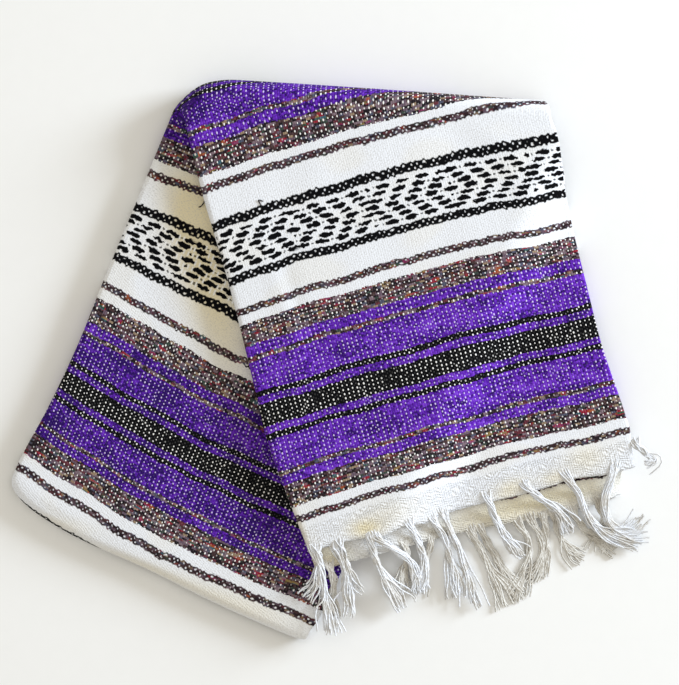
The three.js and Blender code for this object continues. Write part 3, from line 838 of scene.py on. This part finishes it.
def striped_weave():
    """The whole cloth: stripes, chains and diamonds in their order, and the weave over all."""
    material, t, shader = new_material("striped_weave", 0.92, 0.02)
    across, along = t.split("ShaderNodeUVMap", "UV", uv_map="weave")
    across, along = across * 1000.0, along * 1000.0
    ragged = t.group(raggedness, Across=across, Along=along)["Along"]
    plan = t.group(stripe_plan, Along=ragged)
    dots = t.group(warp_dots, Across=across, Along=along)
    yarn = t.group(recycled, Across=across, Along=along)["Colour"]
    plain = t.group(cotton, Across=across, Along=along, Loose=plan["End Band"])

    # Dyed wefts, each pick a little lighter or darker than the next.
    tone = t.noise(across / 3.0, along / 1.1, detail=1.0, roughness=0.7)
    patch = t.noise(across / 45.0, along / 14.0, detail=1.0)
    lit = (tone - 0.5) * 1.4 + (patch - 0.5) * 1.3 + (dots["Tone"] - 0.5) * 1.1
    # Painted shade: the purple is made darker where the weave's place is under 600, fully under
    # 480, which is the under leg.
    lit = lit - t.step(along, 600.0, 480.0) * 0.4
    purple = t.mix(t.step(lit, 0.0, 0.7), PURPLE, PURPLE_LIGHT)
    purple = t.mix(t.step(lit, 0.0, -0.6), purple, PURPLE_DEEP)
    # Slow patches of cream in the cotton, and warm shade painted at the places in the tables.
    creamy = t.math("MAXIMUM", plain["Cream"] * 0.15, t.attribute("cream"))
    white = t.mix(creamy, WHITE, CREAM_AND_PAINTED_SHADE)
    # Painted shade: grey where the cotton's slubs and hem ripples sink.
    white = t.mix(t.step(plain["Shade"], 0.50, 0.28) * 0.34, white, GROOVE_SHADE)
    colour = t.mix(plan["Purple"], white, purple)
    colour = t.mix(plan["Black"], colour, BLACK)
    colour = t.mix(plan["Recycled"], colour, yarn)

    # White ends of the warp over the coloured wefts.
    coloured = t.math("MAXIMUM", plan["Black"], plan["Recycled"])
    coloured = t.math("MAXIMUM", plan["Purple"], coloured)
    show = plan["Purple"] * 0.8 + (plan["Black"] * 0.95 + plan["Recycled"] * 0.95)
    end_colour = t.mix(plan["Purple"] * 0.7, WARP_END, STAINED_END)
    colour = t.mix(dots["Dots"] * coloured * show, colour, end_colour)

    # Chain stripes, a brown one and then a larger black one, which the end bands don't have.
    is_black = plan["Black Chain"]
    links = t.group(
        chain,
        Across=across,
        Off_Middle=plan["From Chain"],
        Half_Width=3.4 + is_black * 0.6,
        Link=6.2 + is_black * 1.2,
        Hole=0.85 + is_black * 0.15,
    )
    shown = 1.0 - is_black * plan["End Band"]
    brown = t.mix(0.25 + links["Luck"] * 0.6, BROWN, yarn)
    colour = t.mix(links["Links"] * shown, colour, t.mix(is_black, brown, BLACK))

    # Diamonds.
    chart = t.group(diamonds, Across=across, Off_Middle=plan["From Diamond Band"])
    dash = chart["Dashes"] * plan["Has Diamonds"]
    colour = t.mix(dash, colour, BLACK)
    colour = t.mix(chart["Ticks"] * plan["Has Diamonds"] * 0.85, colour, TICK)
    t.link(colour, shader.inputs["Base Color"])

    # Relief of the ends, the picks and the links.
    woven = coloured * (dots["Dots"] * 0.7 + dots["Weave"] * 0.6)
    flat = (1.0 - coloured) * plain["Height"] * (0.35 + plan["End Band"] * 0.5)
    raised = links["Rise"] * shown * 0.75
    t.bump(woven + flat + (raised + dash * 0.5) + tone * 0.5, 0.75, 0.0007, shader)
    t.link(0.84 + tone * 0.14, shader.inputs["Roughness"])
    return material


def fringe_yarn(name, colour, shade):
    """Loose cotton ends of two plies, with the twist and its soft shade."""
    material, t, shader = new_material(name, 0.9, 0.15)
    x, y = t.split("ShaderNodeTexCoord", "Object")
    along, around = t.attribute("along_yarn"), t.attribute("around_yarn")
    plies = t.group(twist, Along=along, Around=around, X=x, Y=y)
    t.link(t.mix(plies["Shade"], colour, shade), shader.inputs["Base Color"])
    t.bump(plies["Height"], 0.7, 0.0004, shader)
    return material


weave_material = striped_weave()
fringe_material = fringe_yarn("fringe_cotton", (0.80, 0.82, 0.87), (0.62, 0.585, 0.53))
# A darker, tanner copy of the fringe's finish for the lower tassels: painted shade.
shaded_fringe = fringe_yarn("shaded_lower_fringe_cotton", (0.74, 0.72, 0.68), (0.50, 0.46, 0.40))
dark_yarn = fringe_yarn("dark_weft_ends", (0.030, 0.022, 0.022), (0.008, 0.006, 0.006))


# ---- The cloth ----


def hem_line(hem):
    return lambda _, across: read(hem, across)


def on_upper(spots):
    """Height of the upper leg's top, at spots in plan."""
    return bed(spots) + LEG


def on_under(spots):
    return np.full(len(spots), LEG)


def on_floor(spots):
    return np.zeros(len(spots))


turn_run = half_turn(TURN_REACH, TURN_RISE) / math.cos(turn_skew)
end_run = half_turn(END_DEPTH, HALF_LEG)

over = Cloth(
    Section(84, 10), upper, UPPER_STRIPES, UPPER_BOW, UPPER_BOW_SHARE, UPPER_PAINTED_SHADE, UPPER_CREASES,
)
over_rows = []
for angle in np.linspace(-90, 90, 27)[:-1]:
    points, seam = on_turn(over.section, angle, inner=False)
    over_rows.append((points, over.weave(seam - turn_run * (90 - angle) / 180)))
for part in np.linspace(0, 1, 118):
    over_rows.append(over.row(turn_seam, hem_line(UPPER_HEM), part, on_upper))
upper_cloth = woven_sheet("upper_leg_cloth", over_rows, weave_material, 80, 60, up=True)

face = Cloth(
    Section(76, 10), under, UNDER_STRIPES, UNDER_BOW, UNDER_BOW_SHARE, UNDER_PAINTED_SHADE, UNDER_CREASES,
)
underside = Cloth(face.section, under, UNDER_STRIPES, UNDER_BOW, UNDER_BOW_SHARE)
under_rows = []
for part in np.linspace(0, 1, 100)[:-1]:
    under_rows.append(face.row(turn_seam, end_line, part, on_under))
for angle in np.linspace(90, -90, 19):
    points, flat = on_end_fold(face.section, angle)
    under_rows.append((points, face.weave(flat + end_run * (90 - angle) / 180)))
# The underside's stripes run on from the end fold, to the place where the inner turn begins.
last_place = under_rows[-1][1][:, 1]
for part in np.linspace(1, 0, 30)[1:]:
    points, weave = underside.row(turn_seam, end_line, part, on_floor, under_face=True)
    weave[:, 1] = last_place * part - (INNER_TURN - turn_run) * (1 - part)
    under_rows.append((points, weave))
under_cloth = woven_sheet("under_leg_cloth", under_rows, weave_material, 50, 60, up=True)

beneath = Cloth(
    Section(40, 16), lower, BENEATH_STRIPES, BENEATH_BOW, BENEATH_BOW_SHARE, LOWER_PAINTED_SHADE,
)
beneath_rows = []
for angle in np.linspace(-90, 90, 11)[:-1]:
    points, seam = on_turn(beneath.section, angle, inner=True)
    beneath_rows.append((points, beneath.weave(seam)))
for part in np.linspace(0, 1, 60):
    beneath_rows.append(beneath.row(turn_seam, hem_line(LOWER_HEM), part, bed, under_face=True))
beneath_cloth = woven_sheet("lower_layers_cloth", beneath_rows, weave_material, 30, 36, up=False)


# ---- The fringe ----

# Tassels in the order that they hang from left to right: the places of the middle of each, across
# and along, from its hem to its tips, how wide its tips spread, and how many ends it has.
UPPER_TASSELS = (
    (((-160, 417), (-159, 436), (-162, 466), (-165, 508)), 9, 10),
    (((-157, 419), (-160, 436), (-171, 454), (-184, 463)), 13, 7),
    (((-140, 419), (-136, 440), (-139, 468), (-146, 495)), 9, 9),
    (((-134, 419), (-133, 440), (-130, 460), (-124, 474)), 7, 6),
    (((-103, 420), (-104, 442), (-98, 470), (-90, 502)), 10, 12),
    (((-98, 420), (-86, 437), (-73, 452), (-70, 474), (-72, 492)), 7, 9),
    (((-62, 417), (-59, 434), (-57, 458), (-70, 488)), 8, 11),
    (((-38, 420), (-32, 442), (-32, 474), (-34, 508)), 8, 10),
    (((-26, 415), (-24, 438), (-19, 474), (-19, 524)), 7, 10),
    (((20, 412), (23, 436), (29, 462), (38, 484)), 7, 11),
    (((60, 412), (70, 428), (86, 446), (91, 474)), 9, 12),
    (((100, 410), (109, 432), (114, 462), (130, 486), (158, 503)), 12, 12),
    (((154, 416), (136, 446), (132, 468), (144, 484), (172, 474)), 9, 9),
    (((152, 417), (133, 448), (133, 474), (150, 490), (168, 494)), 9, 8),
    (((179, 404), (186, 414), (192, 423), (180, 424)), 5, 9),
)
LOWER_TASSELS = (
    (((-150, 438), (-150, 452), (-156, 474), (-160, 494)), 8, 8),
    (((-72, 438), (-73, 450), (-82, 470), (-84, 486)), 8, 9),
    (((-44, 440), (-57, 462), (-68, 480), (-74, 492)), 9, 9),
    (((-4, 443), (1, 466), (8, 496), (14, 527)), 9, 11),
    (((6, 444), (11, 466), (19, 496), (30, 524)), 9, 9),
    (((44, 447), (49, 468), (42, 490), (18, 522)), 8, 10),
    (((57, 447), (62, 472), (53, 496), (36, 510)), 9, 9),
    (((70, 449), (67, 474), (58, 498), (52, 510)), 8, 9),
    (((82, 450), (81, 470), (88, 490), (100, 502)), 11, 10),
    (((100, 451), (106, 470), (118, 484), (134, 502)), 11, 10),
    (((126, 449), (128, 468), (122, 486), (114, 500)), 9, 9),
)

ROOT_LENGTH = 9.0  # how far inside its hem a tassel comes out of the cloth
STRANDS = 1.9  # yarns that stand for each counted end of a tassel
HANK = 3.3  # radius of a gathered tassel
YARN = 0.82  # radius of a yarn of the fringe


def yarn_tree():
    """Geometry nodes that give a line of yarn its round section and its measures."""
    tree = bpy.data.node_groups.new("Yarn", "GeometryNodeTree")
    for key, way, sort, value in (
        ("Geometry", "INPUT", "Geometry", None),
        ("Yarn Radius", "INPUT", "Float", 0.0008),
        ("Sides", "INPUT", "Int", 6),
        ("Finish", "INPUT", "Material", None),
        ("Geometry", "OUTPUT", "Geometry", None),
    ):
        socket = tree.interface.new_socket(name=key, in_out=way, socket_type="NodeSocket" + sort)
        if value is not None:
            socket.default_value = value
    t = Tree(tree)
    given = t.node("NodeGroupInput").outputs
    measure = t.node("GeometryNodeSplineParameter").outputs

    def stored(geometry, name, value):
        return t.node("GeometryNodeStoreNamedAttribute", {
            "Geometry": geometry, "Name": name, "Value": value,
        }, data_type="FLOAT", domain="POINT").outputs[0]

    circle = t.node("GeometryNodeCurvePrimitiveCircle", {
        "Resolution": given["Sides"], "Radius": given["Yarn Radius"],
    })
    tube = t.node("GeometryNodeCurveToMesh", {
        "Curve": stored(given["Geometry"], "along_yarn", measure["Length"]),
        "Profile Curve": stored(circle.outputs[0], "around_yarn", measure["Factor"]),
        "Fill Caps": True,
    })
    realized = t.node("GeometryNodeRealizeInstances", (tube.outputs[0],))
    finish = t.node("GeometryNodeSetMaterial", {
        "Geometry": realized.outputs[0], "Material": given["Finish"],
    })
    t.node("NodeGroupOutput", (finish.outputs[0],))
    return tree


yarn = yarn_tree()


def spun(name, lines, radius, material):
    """A mesh of yarns that follow lines of points, in millimetres from the turn's middle. A
    line's fourth number is its thickness as a share."""
    curve = bpy.data.curves.new(name + "_lines", "CURVE")
    curve.dimensions = "3D"
    for line in lines:
        spline = curve.splines.new("POLY")
        spline.points.add(len(line) - 1)
        placed = np.ones((len(line), 4))
        placed[:, :3] = line[:, :3] * MM + np.array(pivot)
        spline.points.foreach_set("co", placed.ravel())
        spline.points.foreach_set("radius", line[:, 3])
    lines_object = add_object(name + "_lines", curve)
    modifier = lines_object.modifiers.new("Yarn", "NODES")
    modifier.node_group = yarn
    sockets = {s.name: s.identifier for s in yarn.interface.items_tree if s.in_out == "INPUT"}
    modifier[sockets["Yarn Radius"]] = radius * MM
    modifier[sockets["Sides"]] = 6
    modifier[sockets["Finish"]] = material
    bpy.context.view_layer.update()
    graph = bpy.context.evaluated_depsgraph_get()
    mesh = bpy.data.meshes.new_from_object(lines_object.evaluated_get(graph))
    bpy.data.objects.remove(lines_object)
    mesh.name = name
    mesh.polygons.foreach_set("use_smooth", np.ones(len(mesh.polygons), bool))
    return add_object(name, mesh)


def along_path(knots, shares):
    """Places on a smooth line through knots, at shares of its length."""
    knots = np.array(knots, float)
    steps = np.concatenate(((0,), np.cumsum(np.linalg.norm(np.diff(knots, axis=0), axis=1))))
    path = np.column_stack((steps / steps[-1], knots))
    return np.column_stack([read(path, shares, column) for column in (1, 2)])


def tassel_lines(tassels, is_upper, seed):
    """The ends of each tassel. They gather out of the cloth into a loose hank with little twist,
    and part again. A few stray across the others."""
    chance = np.random.default_rng(seed)
    lines = []
    for knots, spread, ends in tassels:
        (start_across, start_along), (next_across, _) = knots[:2]
        root = (start_across - 0.15 * (next_across - start_across), start_along - ROOT_LENGTH)
        knots = (root, *knots)
        turn = chance.uniform(0, 2 * math.pi)
        neck = chance.uniform(0.24, 0.34)
        twist_turns = chance.uniform(0.15, 0.7) * chance.choice((-1, 1))
        ends = round(ends * STRANDS)
        for end in range(ends):
            reach = 1 - abs(chance.normal(0, 0.08))
            shares = np.linspace(chance.uniform(0, 0.10), 1, 26) * reach
            middle = along_path(knots, shares)
            ahead = along_path(knots, np.clip(shares + 0.02, 0, 1))
            behind = along_path(knots, np.clip(shares - 0.02, 0, 1))
            direction = ahead - behind
            direction /= np.linalg.norm(direction, axis=1)[:, None]
            side = np.column_stack((-direction[:, 1], direction[:, 0]))
            lane = (end + 0.5) / ends * 2 - 1
            lane += chance.normal(0, 0.10)
            angle = turn + end * 2.4 + twist_turns * 2 * math.pi * shares
            ring = HANK * math.sqrt((end + 0.5) / ends)
            gather = smooth(shares / neck)
            part = smooth((shares - neck) / (1 - neck)) ** 1.1
            bundle = ring * np.cos(angle) * gather * (1 - part)
            root_side = lane * 6.0 * (1 - gather)
            fan = lane * spread * 0.8 * part
            sway = (
                1.9 * part * np.sin(shares * chance.uniform(5, 11) + chance.uniform(0, 6.3))
                + 0.8 * gather * np.sin(shares * chance.uniform(14, 26) + chance.uniform(0, 6.3))
            )
            if chance.random() < 0.14:
                sway = sway + chance.choice((-1, 1)) * chance.uniform(6, 15) * part ** 1.5
            spots = middle + side * (bundle + root_side + fan + sway)[:, None]
            across, along = spots.T
            plan = upper.plan(across, along)
            past = smooth((along - read(LOWER_HEM, across) + 2) / 28)
            swell = 0.55 * ring * np.sin(angle) * gather * (1 - part)
            lift = 1.7 + swell + chance.uniform(-0.5, 0.9) * part
            if is_upper:
                face_height = LEG + creased(UPPER_CREASES, across, along)
                off_hem = smooth((along - read(UPPER_HEM, across)) / 18)
                low = HALF_LEG + 1.3
                height = face_height - 1.2 + (low - face_height + 1.2) * off_hem
                height = height + (4.0 - low) * past
                lift = lift + chance.uniform(0, 2.4) * part
            else:
                top = HALF_LEG - 0.9
                height = top + (0.3 - top) * past
                lift = lift * 0.75
            rise = smooth((shares - shares[0]) / 0.12)
            height = height + lift * rise - 0.9 * (shares == shares[0])
            thickness = np.where(shares > reach * 0.96, 0.7, 1.0) * chance.uniform(0.75, 1.2)
            lines.append(np.column_stack((plan, bed(plan) + np.maximum(height, 1.0), thickness)))
    return lines


upper_tassels = spun("upper_tassels", tassel_lines(UPPER_TASSELS, True, 11), YARN, fringe_material)
lower_tassels = spun("lower_tassels", tassel_lines(LOWER_TASSELS, False, 12), YARN, shaded_fringe)


def loose_end(leg, level, *knots):
    """A loose weft end lying on a face, through places across and along the leg."""
    across, along = along_path(knots, np.linspace(0, 1, 20)).T
    plan = leg.plan(across, along)
    height = level(plan) + 1.4 + 0.5 * np.sin(np.linspace(0, 6, 20))
    return np.column_stack((plan, height, np.full(20, 0.8)))


loose_ends = spun("loose_weft_ends", [
    loose_end(under, on_under, (-118, 126), (-117, 132), (-113, 138), (-116, 142)),
    loose_end(under, on_under, (-106, 146), (-104, 150), (-105, 156), (-107, 158)),
    loose_end(upper, on_upper, (-118, 70), (-122, 68), (-121, 73)),
], 0.6, dark_yarn)


# ---- Each piece put under the root, and the model's parts that it stands for hidden ----

for piece, slot, nodes in (
    (upper_cloth, "striped_weave", ("upper_leg_face", "turn_over")),
    (under_cloth, "striped_weave", ("under_leg_face", "under_leg_underside", "end_fold")),
    (beneath_cloth, "striped_weave", ("upper_leg_underside", "lower_end", "folded_layers")),
    (upper_tassels, "fringe_cotton", ("upper_fringe",)),
    (lower_tassels, "fringe_cotton", ("lower_fringe",)),
    (loose_ends, "striped_weave", ()),
):
    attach(piece, "root")
    if nodes:
        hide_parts(*nodes)


# ---- Floor, light and camera ----

FLOOR_HALF = 3.0
FLOOR_GAP = 0.0004


def plain_floor():
    material, t, shader = new_material("pale_floor", 0.9, 0.0)
    grain = t.noise(*t.split("ShaderNodeTexCoord", "Object"), scale=60.0, detail=2.0)
    t.link(t.mix(grain, (0.905, 0.905, 0.905), (0.92, 0.92, 0.92)), shader.inputs["Base Color"])
    mesh = bpy.data.meshes.new("floor")
    signs = ((-1, -1), (1, -1), (1, 1), (-1, 1))
    corners = [(x * FLOOR_HALF, y * FLOOR_HALF, cad_low.z - FLOOR_GAP) for x, y in signs]
    mesh.from_pydata(corners, [], [(0, 1, 2, 3)])
    mesh.materials.append(material)
    add_object("floor", mesh)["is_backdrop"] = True


plain_floor()


def soft_light(name, place, size, power, colour):
    """A square light that looks at the middle of the blanket."""
    data = bpy.data.lights.new(name, "AREA")
    data.shape = "SQUARE"
    data.size = size
    data.energy = power
    data.color = colour
    light = add_object(name, data)
    light.location = place
    light.rotation_euler = (-Vector(place)).to_track_quat("-Z", "Y").to_euler()


soft_light("window_light", (4.3, 1.6, 1.6), 1.8, 306, (0.80, 0.89, 1.0))
soft_light("ceiling_light", (-0.1, 0.3, 2.6), 2.2, 8, (1.0, 0.97, 0.92))

world = bpy.data.worlds.new("studio")
world.use_nodes = True
backdrop = world.node_tree.nodes["Background"].inputs
backdrop["Color"].default_value = (1.0, 0.955, 0.84, 1)
backdrop["Strength"].default_value = 0.60
scene = bpy.context.scene
scene.world = world
scene.view_settings.view_transform = "Standard"
scene.view_settings.look = "None"

# The camera looks straight down.
CAMERA_HEIGHT = 3.0
VIEW = 0.685  # what the view spans at the blanket's face
SENSOR = 36.0
camera_data = bpy.data.cameras.new("camera")
camera_data.sensor_fit = "AUTO"
camera_data.sensor_width = SENSOR
camera_data.lens = SENSOR * CAMERA_HEIGHT / VIEW
camera_data.clip_start = 0.1
camera_data.clip_end = 20.0
camera = add_object("camera", camera_data)
camera.location = (0.0023, 0.0189, 0.025 + CAMERA_HEIGHT)
camera.rotation_euler = (0, 0, 0)
scene.camera = camera

visual_low, visual_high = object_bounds()
({
    "cad": [list(cad_low), list(cad_high)],
    "visual": [list(visual_low), list(visual_high)],
})
